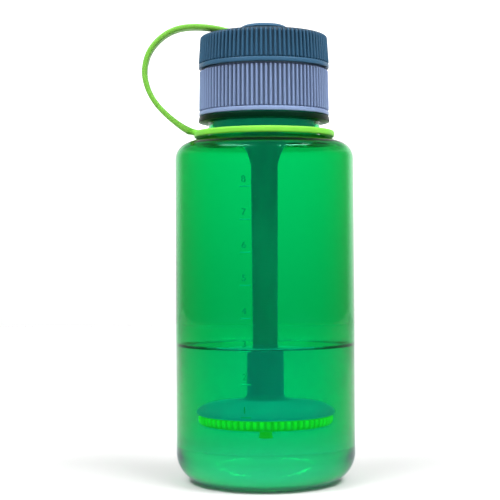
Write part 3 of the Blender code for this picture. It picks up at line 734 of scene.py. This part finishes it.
def build_cap():
    root_r = CAP_R - RIB_DEPTH
    ribs_low = CAP_Z + BAND
    root_top_r = CAP_TOP_R - RIB_DEPTH
    round_r = 2.3 * MM
    hole_r = 4.3 * MM
    top = [
        (hole_r, CAP_TOP_Z - 0.2 * MM), (hole_r + 0.2 * MM, CAP_TOP_Z), (14.0 * MM, CAP_TOP_Z),
        (14.3 * MM, CAP_TOP_Z - 0.25 * MM), (15.0 * MM, CAP_TOP_Z - 0.25 * MM),
        (15.3 * MM, CAP_TOP_Z), (26.6 * MM, CAP_TOP_Z),
    ]
    outside = (
        arc(root_top_r - round_r, CAP_TOP_Z - round_r, round_r, 90, 0, 9)
        + [(root_r, ribs_low + 1.2 * MM), (root_r, ribs_low + 0.9 * MM),
           (root_r, ribs_low + 0.6 * MM), (root_r, ribs_low + 0.3 * MM),
           (CAP_R - 0.15 * MM, ribs_low), (CAP_R, ribs_low - 0.25 * MM)]
        + arc(CAP_R - 0.35 * MM, CAP_Z + 0.35 * MM, 0.35 * MM, 0, -90, 4)
    )
    bore = (
        [(CAP_BORE_R + 0.4 * MM, CAP_Z)]
        + run((CAP_BORE_R, CAP_Z + 0.4 * MM), (CAP_BORE_R, 217 * MM), 0.3 * MM)
        + [(CAP_BORE_R, CAP_PLATE_Z - 0.8 * MM), (CAP_BORE_R - 0.2 * MM, CAP_PLATE_Z - 0.2 * MM),
           (CAP_BORE_R - 0.6 * MM, CAP_PLATE_Z), (hole_r + 0.2 * MM, CAP_PLATE_Z),
           (hole_r, CAP_PLATE_Z + 0.2 * MM)]
    )

    def relief(angle, r, z):
        rim = root_top_r - round_r
        grip = smooth_step((z - ribs_low) / (0.8 * MM))
        edge = smooth_step((r - rim - 0.6 * MM) / (round_r * 0.7))
        outer = (r > rim) & (r < root_r + 0.05 * MM) & (z > ribs_low)
        r = np.where(outer, r + RIB_DEPTH * ribs(angle, RIBS) * grip * edge, r)
        inner = np.abs(r - CAP_BORE_R) < 0.01 * MM
        ridge = thread(angle, z, SPIGOT_THREAD_Z - LEAD / 2, SPIGOT_TURNS)
        return np.where(inner, r - (CAP_BORE_R - CAP_THREAD_R) * ridge, r)

    cap = lathe("cap_grip", top + outside + bore, RIBS * 10, relief=relief, sharp=60)
    # painted shade: the cap darkens towards the roots of its ribs
    grip_plastic = moulded("slate_grip_plastic", SLATE, groove_shade=(CAP_TOP_R - RIB_DEPTH, CAP_TOP_R))
    place(cap, "cap", grip_plastic, "cap", "cap_shell")

    liner = low("cap_liner").z, high("cap_liner").z, high("cap_liner").x
    disc = rounded([(liner[2], liner[1]), (liner[2], liner[0]), (8 * MM, liner[0]),
                    (8 * MM, liner[1])], 0.3 * MM)
    place(lathe("cap_seal", disc, 128), "cap", PALE_FOAM, "liner", "cap_liner")


def build_button():
    top_z = high("tether_button").z
    pin_z = low("tether_button").z
    head_z = 226.9 * MM
    profile = [(0.0, top_z - 0.12 * MM), (4.5 * MM, top_z - 0.1 * MM)]
    profile += [(6.6 * MM, top_z - 0.02 * MM)]
    profile += [(7.6 * MM, top_z), (8.6 * MM, top_z - 0.06 * MM), (9.8 * MM, top_z - 0.3 * MM)]
    profile += [(10.9 * MM, top_z - 0.75 * MM), (11.8 * MM, top_z - 1.35 * MM)]
    profile += arc(12.1 * MM, head_z + 0.4 * MM, 0.4 * MM, 20, -90, 5)
    profile += [(4.4 * MM, head_z), (4.0 * MM, head_z - 0.3 * MM), (4.0 * MM, pin_z + 0.6 * MM),
                (3.4 * MM, pin_z), (0.0, pin_z)]
    button = lathe("cap_button", profile, 96, closed=False)
    place(button, "button", SLATE_PLASTIC, "cap", "tether_button")

    clip_low, clip_high = low("button_clip").z, high("button_clip").z
    ring = rounded([(7.4 * MM, clip_high), (7.4 * MM, clip_low), (4.3 * MM, clip_low),
                    (4.3 * MM, clip_high)], 0.3 * MM)
    place(lathe("pin_clip", ring, 64), "button", SLATE_PLASTIC, "cap", "button_clip")


build_collar()
build_cap()
build_button()


# ---- the insert, its stem and its foot ---------------------------------------------------------

def build_insert():
    cup_seat_z = STEM_TOP_Z + GAP
    boss_top_z = 190 * MM
    boss_r = 9.2 * MM
    seat_r = 8.2 * MM
    rim = rounded([(SPIGOT_BORE_R, SPIGOT_TOP_Z - 4 * MM), (SPIGOT_BORE_R, SPIGOT_TOP_Z),
                   (SPIGOT_R, SPIGOT_TOP_Z), (SPIGOT_R, SPIGOT_TOP_Z - 4 * MM)], 0.6 * MM)[1:-1]
    spigot = run((SPIGOT_R, SPIGOT_TOP_Z - 0.7 * MM), (SPIGOT_R, 209.4 * MM), 0.3 * MM)
    flange = rounded([(SPIGOT_R, FLANGE_TOP_Z + 2 * MM), (SPIGOT_R, FLANGE_TOP_Z),
                      (FLANGE_R, FLANGE_TOP_Z), (FLANGE_R, FLANGE_Z), (WELL_R, FLANGE_Z),
                      (WELL_R, FLANGE_Z - 2 * MM)], 0.3 * MM)[1:-1]
    corner = arc(WELL_R - 3 * MM, WELL_FLOOR_Z + 3 * MM, 3 * MM, 0, -90, 8)
    socket = rounded([
        (SOCKET_R + 3 * MM, WELL_FLOOR_Z), (SOCKET_R, WELL_FLOOR_Z), (SOCKET_R, cup_seat_z),
        (seat_r, cup_seat_z), (seat_r, boss_top_z), (boss_r, boss_top_z),
        (boss_r, WELL_FLOOR_TOP_Z), (WELL_BORE_R, WELL_FLOOR_TOP_Z),
        (WELL_BORE_R, FLANGE_Z), (SPIGOT_BORE_R, FLANGE_TOP_Z),
        (SPIGOT_BORE_R, SPIGOT_TOP_Z - 1 * MM)], 0.4 * MM)[1:-1]

    def relief(angle, r, z):
        outer = (np.abs(r - SPIGOT_R) < 0.01 * MM) & (z > 207 * MM)
        ridge = thread(angle, z, SPIGOT_THREAD_Z, SPIGOT_TURNS)
        return np.where(outer, r + (SPIGOT_THREAD_R - SPIGOT_R) * ridge, r)

    insert = lathe("lid_insert_well", rim + spigot + flange + corner + socket, 192, relief=relief)
    hole = lathe("mouthpiece_hole", [(0.0, WELL_FLOOR_TOP_Z + 1 * MM),
                                     (6.9 * MM, WELL_FLOOR_TOP_Z + 1 * MM),
                                     (6.9 * MM, WELL_FLOOR_Z - 1 * MM),
                                     (0.0, WELL_FLOOR_Z - 1 * MM)], 64, closed=False,
                 centre_x=MOUTH_X)
    cut = insert.modifiers.new("hole", "BOOLEAN")
    cut.operation = "DIFFERENCE"
    cut.solver = "EXACT"
    cut.object = hole
    bpy.context.view_layer.update()
    shape = insert.evaluated_get(bpy.context.evaluated_depsgraph_get())
    mesh = bpy.data.meshes.new_from_object(shape)
    insert.modifiers.clear()
    insert.data = mesh
    bpy.data.objects.remove(hole, do_unlink=True)
    mesh.shade_smooth()
    mesh.set_sharp_from_angle(angle=radians(40))
    place(insert, "lid_insert", INSERT_PLASTIC, "insert", "insert_well")


def soft_ring(name, node, inner_r, outer_r, material, slot, centre_x=0.0, radius=0.35 * MM):
    bottom, top = low(node).z, high(node).z
    section = rounded([(outer_r, top), (outer_r, bottom), (inner_r, bottom), (inner_r, top)],
                      radius)
    ring = lathe(name, section, 96, centre_x=centre_x)
    return place(ring, "lid_insert", material, slot, node)


def build_seals():
    soft_ring("lip_seal", "rim_gasket", NECK_BORE_R + 0.3 * MM, NECK_R - 0.1 * MM, DARK_RUBBER,
              "gasket")
    soft_ring("spout_seal", "mouthpiece_grommet", 5.7 * MM, 6.6 * MM, LIME_RUBBER, "seal",
              centre_x=MOUTH_X)
    soft_ring("stem_seal", "stem_oring", 5.65 * MM, 6.7 * MM, DARK_RUBBER, "gasket",
              radius=0.6 * MM)
    bottom, top = low("cup_sleeve").z, high("cup_sleeve").z
    lip_z = 190.3 * MM
    section = rounded([(9.0 * MM, top), (9.0 * MM, lip_z), (7.9 * MM, lip_z), (7.9 * MM, bottom),
                       (6.3 * MM, bottom), (6.3 * MM, top)], 0.4 * MM)
    place(lathe("cup_boot", section, 96), "lid_insert", LIME_RUBBER, "seal", "cup_sleeve")


def build_mouthpiece():
    top, bottom = high("mouthpiece").z, low("mouthpiece").z
    r = 5.4 * MM
    bore = 3.9 * MM
    profile = arc(4.9 * MM, top - 1.0 * MM, 1.0 * MM, 110, 0, 8)
    profile += [(5.98 * MM, top - 1.6 * MM), (5.95 * MM, top - 2.6 * MM)]
    profile += [(5.7 * MM, top - 3.8 * MM)]
    profile += [(5.45 * MM, top - 5.0 * MM), (r, top - 6.5 * MM), (r, bottom + 0.6 * MM)]
    profile += [(r - 0.4 * MM, bottom), (bore + 0.2 * MM, bottom), (bore, bottom + 0.2 * MM)]
    profile += [(bore, top - 0.8 * MM), (bore + 0.15 * MM, top - 0.3 * MM)]
    spout = lathe("spout", profile, 96, centre_x=MOUTH_X)
    place(spout, "lid_insert", SLATE_PLASTIC, "mouthpiece", "mouthpiece")


def build_cup():
    seat_z = low("inlet_cup").z
    top = high("inlet_cup").z
    profile = rounded([
        (9.0 * MM, top), (9.0 * MM, 194.0 * MM), (7.0 * MM, 191.8 * MM), (6.0 * MM, 191.8 * MM),
        (6.0 * MM, seat_z), (2.6 * MM, seat_z), (2.6 * MM, 194.0 * MM), (5.6 * MM, 195.6 * MM),
        (7.2 * MM, 195.6 * MM), (7.2 * MM, top)], 0.6 * MM)
    cup = lathe("cup", profile, 128)
    place(cup, "lid_insert", glazed("glazed_cup"), "cup", "inlet_cup")
    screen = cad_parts["cup_screen"]
    screen.data.materials.clear()
    screen.data.materials.append(brushed("brushed_screen"))


def build_stem():
    under = WELL_FLOOR_Z - GAP
    head_r = SOCKET_R - GAP
    groove_r = 5.4 * MM
    flare_r = 11.95 * MM
    step_z = SLEEVE_TOP_Z + GAP
    head = rounded([(STEM_BORE_R, STEM_TOP_Z - 2 * MM), (STEM_BORE_R, STEM_TOP_Z),
                    (head_r, STEM_TOP_Z), (head_r, 180.6 * MM), (groove_r, 180.6 * MM),
                    (groove_r, 178.6 * MM), (head_r, 178.6 * MM), (head_r, under),
                    (flare_r, under), (flare_r, under - 1 * MM)], 0.3 * MM)[1:-1]
    skirt = [(flare_r, under - 0.5 * MM), (10.9 * MM, 169.9 * MM), (9.9 * MM, 168.0 * MM),
             (9.15 * MM, 166.4 * MM), (8.5 * MM, 164.8 * MM), (7.95 * MM, 163.3 * MM),
             (7.5 * MM, 161.8 * MM), (7.05 * MM, 160.2 * MM)]
    shaft = run((STEM_R, 158.6 * MM), (STEM_END_R, step_z + 0.6 * MM), 12 * MM)
    tail = rounded([(STEM_END_R, step_z + 0.6 * MM), (STEM_END_R, step_z), (SPIGOT_END_R, step_z),
                    (SPIGOT_END_R, STEM_END_Z), (STEM_BORE_R, STEM_END_Z),
                    (STEM_BORE_R, STEM_END_Z + 1 * MM)], 0.25 * MM)[1:-1]
    stem = lathe("stem", head + skirt + shaft + tail, 96)
    place(stem, "lid_insert", PALE_PLASTIC, "stem", "stem_tube")


def build_foot():
    sleeve_bore = SPIGOT_END_R + GAP
    sleeve = arc(6.55 * MM, SLEEVE_TOP_Z - 0.35 * MM, 0.35 * MM, 90, 0, 4)
    sleeve += [(6.9 * MM, 60 * MM), (6.95 * MM, 50 * MM)]
    fillet = arc(10.15 * MM, 45.2 * MM, 3.2 * MM, 180, 262, 8)
    dome = [(14.5 * MM, 41.75 * MM), (18.0 * MM, 41.15 * MM), (21.0 * MM, 40.2 * MM)]
    dome += [(23.2 * MM, 39.0 * MM), (24.8 * MM, 37.65 * MM), (25.75 * MM, 36.35 * MM)]
    dome += [(FOOT_R, 35.3 * MM), (25.95 * MM, 34.4 * MM), (25.4 * MM, 33.75 * MM)]
    rest = rounded([(25.0 * MM, FOOT_Z), (22.5 * MM, FOOT_Z), (22.5 * MM, 36.0 * MM),
                    (6.5 * MM, 37.2 * MM), (STEM_BORE_R, 37.6 * MM),
                    (STEM_BORE_R, STEM_END_Z - GAP), (sleeve_bore, STEM_END_Z - GAP),
                    (sleeve_bore, SLEEVE_TOP_Z - 0.2 * MM)], 0.25 * MM)
    foot = lathe("foot", sleeve + fillet + dome + rest, 160)
    place(foot, "lid_insert", FOOT_PLASTIC_PAINTED_LIGHT_AND_SHADE, "stem", "foot_dome")


def build_diffuser():
    top = high("diffuser_ring").z
    stud_z = low("diffuser_ring").z
    plate_z = 28.3 * MM
    root_r = DIFFUSER_R - 1.2 * MM
    stud_r = 2.4 * MM
    plate = [(0.0, top), (12 * MM, top), (root_r - 0.4 * MM, top), (root_r, top - 0.3 * MM)]
    plate += [(root_r, top - 1.4 * MM), (root_r - 0.1 * MM, top - 2.6 * MM)]
    plate += [(root_r - 0.5 * MM, top - 3.6 * MM), (root_r - 1.2 * MM, top - 4.4 * MM)]
    plate += [(root_r - 2.3 * MM, plate_z), (root_r - 4.0 * MM, plate_z)]
    plate += [(stud_r + 1 * MM, plate_z)]
    stud = [(stud_r + 0.2 * MM, plate_z - 0.3 * MM), (stud_r, plate_z - 1.0 * MM),
            (stud_r, stud_z + 1.3 * MM), (stud_r + 0.3 * MM, stud_z + 1.0 * MM),
            (stud_r + 0.3 * MM, stud_z + 0.3 * MM), (stud_r, stud_z), (1.5 * MM, stud_z),
            (1.2 * MM, stud_z + 0.6 * MM), (0.0, stud_z + 0.8 * MM)]

    def relief(angle, r, z):
        tooth = smooth_step(ribs(angle, TEETH, 0.62) * 1.3)
        zone = smooth_step((z - plate_z + 0.2 * MM) / (0.8 * MM)) * (z < top - 0.05 * MM)
        return np.where(r > root_r - 2.5 * MM, r + 1.2 * MM * tooth * zone, r)

    ring = lathe("diffuser", plate + stud, TEETH * 12, closed=False, relief=relief, sharp=60)
    place(ring, "lid_insert", BRIGHT_RUBBER, "seal", "diffuser_ring")


build_insert()
build_seals()
build_mouthpiece()
build_cup()
build_stem()
build_foot()
build_diffuser()


# ---- the tether --------------------------------------------------------------------------------

def strap_line(samples):
    """Even steps along a smooth curve through the strap's route."""
    knots = [Vector((x * MM, 0.0, z * MM)) for x, z in STRAP_ROUTE]
    fine = []
    for i in range(len(knots) - 1):
        before = knots[max(i - 1, 0)]
        start = knots[i]
        end = knots[i + 1]
        after = knots[min(i + 2, len(knots) - 1)]
        for k in range(20):
            t = k / 20
            fine.append(0.5 * (2 * start + (end - before) * t
                               + (2 * before - 5 * start + 4 * end - after) * t * t
                               + (3 * start - before - 3 * end + after) * t * t * t))
    fine.append(knots[-1])
    length = [0.0]
    for i in range(1, len(fine)):
        length.append(length[-1] + (fine[i] - fine[i - 1]).length)
    line = []
    k = 0
    for i in range(samples + 1):
        target = length[-1] * i / samples
        while length[k + 1] < target and k < len(length) - 2:
            k += 1
        t = (target - length[k]) / (length[k + 1] - length[k])
        line.append(fine[k].lerp(fine[k + 1], t))
    return line


STRAP = strap_line(STRAP_SAMPLES)


def station(share):
    return round(share * STRAP_SAMPLES)


def strap_outline(width, thick, drop=0.0):
    """A flat band with round edges, as (y, normal) pairs; drop thickens its underside."""
    radius = thick * 0.42
    half_w = width / 2 - radius
    half_t = thick / 2 - radius
    corners = [(half_w, half_t, 0), (-half_w, half_t, 90), (-half_w, -half_t, 180),
               (half_w, -half_t, 270)]
    outline = []
    for y, n, start in corners:
        for k in range(6):
            a = radians(start + 18 * k)
            outline.append((y + radius * cos(a), n + radius * sin(a) + (drop if n > 0 else 0.0)))
    return outline


def strap_piece(name, start, end, widen_start=0.0, widen_end=0.0, drop_start=0.0, drop_end=0.0):
    first, last = station(start), station(end)
    count = max(8, (last - first) // 4)
    stations = [first + (last - first) * i // count for i in range(count + 1)]
    centres = [STRAP[k] for k in stations]
    tangents = [(STRAP[min(k + 4, STRAP_SAMPLES)] - STRAP[max(k - 4, 0)]).normalized()
                for k in stations]

    def outline_at(t):
        extra = widen_start * (1 - t) ** 3 + widen_end * t ** 3
        drop = drop_start * (1 - t) ** 3 + drop_end * t ** 3
        return strap_outline(STRAP_WIDTH + extra, STRAP_THICK, drop)

    return sweep(name, centres, tangents, outline_at)


def join_union(obj, other):
    modifier = obj.modifiers.new("join", "BOOLEAN")
    modifier.operation = "UNION"
    modifier.solver = "EXACT"
    modifier.object = other
    bpy.context.view_layer.update()
    shape = obj.evaluated_get(bpy.context.evaluated_depsgraph_get())
    mesh = bpy.data.meshes.new_from_object(shape)
    obj.modifiers.clear()
    obj.data = mesh
    bpy.data.objects.remove(other, do_unlink=True)
    mesh.shade_smooth()
    mesh.set_sharp_from_angle(angle=radians(50))
    return obj


def build_tether():
    lower_cut, bend_low, bend_high, upper_cut = STRAP_CUTS
    section = rounded([(35.3 * MM, RING_TOP_Z), (35.2 * MM, RING_Z),
                       (28.5 * MM, RING_Z + 1.7 * MM), (28.5 * MM, RING_TOP_Z)], 1.2 * MM, 6)
    ring = lathe("neck_ring", section, 160, sharp=60)
    join_union(ring, strap_piece("lug", 0.0, lower_cut, widen_start=6 * MM, widen_end=1.5 * MM,
                                 drop_start=LUG_DROP, drop_end=LUG_DROP))
    place(ring, "tether_ring", LIME_RUBBER, "tether", "tether_neck_ring")

    lower = strap_piece("strap_lower", lower_cut, bend_low, widen_start=1.5 * MM,
                        drop_start=LUG_DROP)
    lower.data.materials.append(SHADED_STRAP_RUBBER)
    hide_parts("tether_strap_lower")
    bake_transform(lower)

    bend = strap_piece("strap_middle", bend_low + 0.001, bend_high)
    place(bend, "strap_bend", SHADED_STRAP_RUBBER, "tether", "tether_strap_bend")

    upper = strap_piece("strap_upper", bend_high + 0.001, upper_cut)
    upper.data.materials.append(SHADED_STRAP_RUBBER)
    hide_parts("tether_strap_upper")
    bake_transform(upper)

    hub_low, hub_high = 224.4 * MM, 226.6 * MM
    section = rounded([(11.0 * MM, hub_high), (11.0 * MM, hub_low), (4.4 * MM, hub_low),
                       (4.4 * MM, hub_high)], 0.6 * MM)
    hub = lathe("hub", section, 96)
    join_union(hub, strap_piece("hub_lug", upper_cut + 0.001, 1.0))
    place(hub, "hub_ring", LIME_RUBBER, "tether", "tether_hub_ring")


build_tether()


# ---- the room, the light and the camera --------------------------------------------------------

def build_room():
    """A sheet of pale paper, a little darker to the sides, in front and at its far end."""
    half_w, front, back = 1.5, -1.5, 1.4
    floor = finish_mesh("floor", [(-half_w, front, 0), (half_w, front, 0), (half_w, back, 0),
                                  (-half_w, back, 0)], [(0, 1, 2, 3)])
    mat, nodes, links, shader = new_material("floor_paper")
    x, y, _ = object_axes(nodes, links)
    sideways = calculate(nodes, links, "MULTIPLY_ADD", y, -0.24,
                         calculate(nodes, links, "ABSOLUTE", x))
    forward = calculate(nodes, links, "SUBTRACT", 0.12, y)
    outside = calculate(nodes, links, "MAXIMUM", sideways, forward)
    tone = map_range(nodes, links, outside, 0.22, 0.55, 0.62, 0.47, "SMOOTHSTEP")
    # the far end matches the sweep behind it
    far_end = map_range(nodes, links, y, 0.35, 1.35, 1.0, 0.81, "SMOOTHSTEP")
    links.new(calculate(nodes, links, "MULTIPLY", tone, far_end), shader.inputs["Base Color"])
    shader.inputs["Roughness"].default_value = 0.7
    shader.inputs["Specular IOR Level"].default_value = 0.15
    floor.data.materials.append(mat)


def build_sky():
    """A light tent: a bright sweep behind and above, and a dim wall in front, behind the camera.

    Two long softboxes stand high in front, to the left and the right. x, y and z are the
    direction's own.
    """
    world = bpy.data.worlds.new("light_tent")
    world.use_nodes = True
    nodes, links = world.node_tree.nodes, world.node_tree.links
    coord = nodes.new("ShaderNodeTexCoord")
    axes = nodes.new("ShaderNodeSeparateXYZ")
    links.new(coord.outputs["Generated"], axes.inputs["Vector"])

    def span(socket, from_min, from_max, to_min, to_max):
        return map_range(nodes, links, socket, from_min, from_max, to_min, to_max, "SMOOTHSTEP")

    def times(a, b):
        return calculate(nodes, links, "MULTIPLY", a, b)

    x, y, z = axes.outputs["X"], axes.outputs["Y"], axes.outputs["Z"]
    sweep_light = span(z, -0.07, 0.10, 1.0, 1.5)
    sides = span(x, -1.0, 1.0, 0.90, 1.14)
    bright = times(times(sweep_light, sides), span(z, 0.22, 0.45, 1.0, 0.40))
    window = times(span(z, 0.75, 0.78, 0.0, 1.0), span(z, 0.83, 0.86, 1.0, 0.0))
    off_centre = span(calculate(nodes, links, "ABSOLUTE", x), 0.20, 0.30, 0.08, 1.0)
    softbox = times(span(y, -0.20, 0.05, 36.0, 0.0), times(window, off_centre))
    bright = calculate(nodes, links, "ADD", bright, times(softbox, sides))
    dim = times(span(y, 0.55, 0.88, 1.0, 0.0), span(z, 0.20, 0.36, 1.0, 0.0))
    mix = nodes.new("ShaderNodeMix")
    links.new(dim, mix.inputs[0])
    links.new(bright, mix.inputs[2])
    mix.inputs[3].default_value = FRONT_WALL
    nodes["Background"].inputs["Color"].default_value = (1.0, 1.0, 1.0, 1.0)
    links.new(mix.outputs[0], nodes["Background"].inputs["Strength"])
    bpy.context.scene.world = world


def build_camera():
    """Half a bottle's height up, level, and a third of a degree out of upright."""
    camera = bpy.data.cameras.new("camera")
    camera.sensor_width = 36.0
    camera.lens = CAMERA_LENS
    camera.clip_start = 0.01
    obj = bpy.data.objects.new("camera", camera)
    obj.location = CAMERA_PLACE
    obj.rotation_euler = (radians(90), CAMERA_ROLL, 0.0)
    bpy.context.scene.collection.objects.link(obj)
    bpy.context.scene.camera = obj


build_room()
build_sky()
build_camera()
bpy.context.scene.view_settings.view_transform = "Standard"
bpy.context.scene.cycles.transmission_bounces = 24
bpy.context.scene.cycles.max_bounces = 24
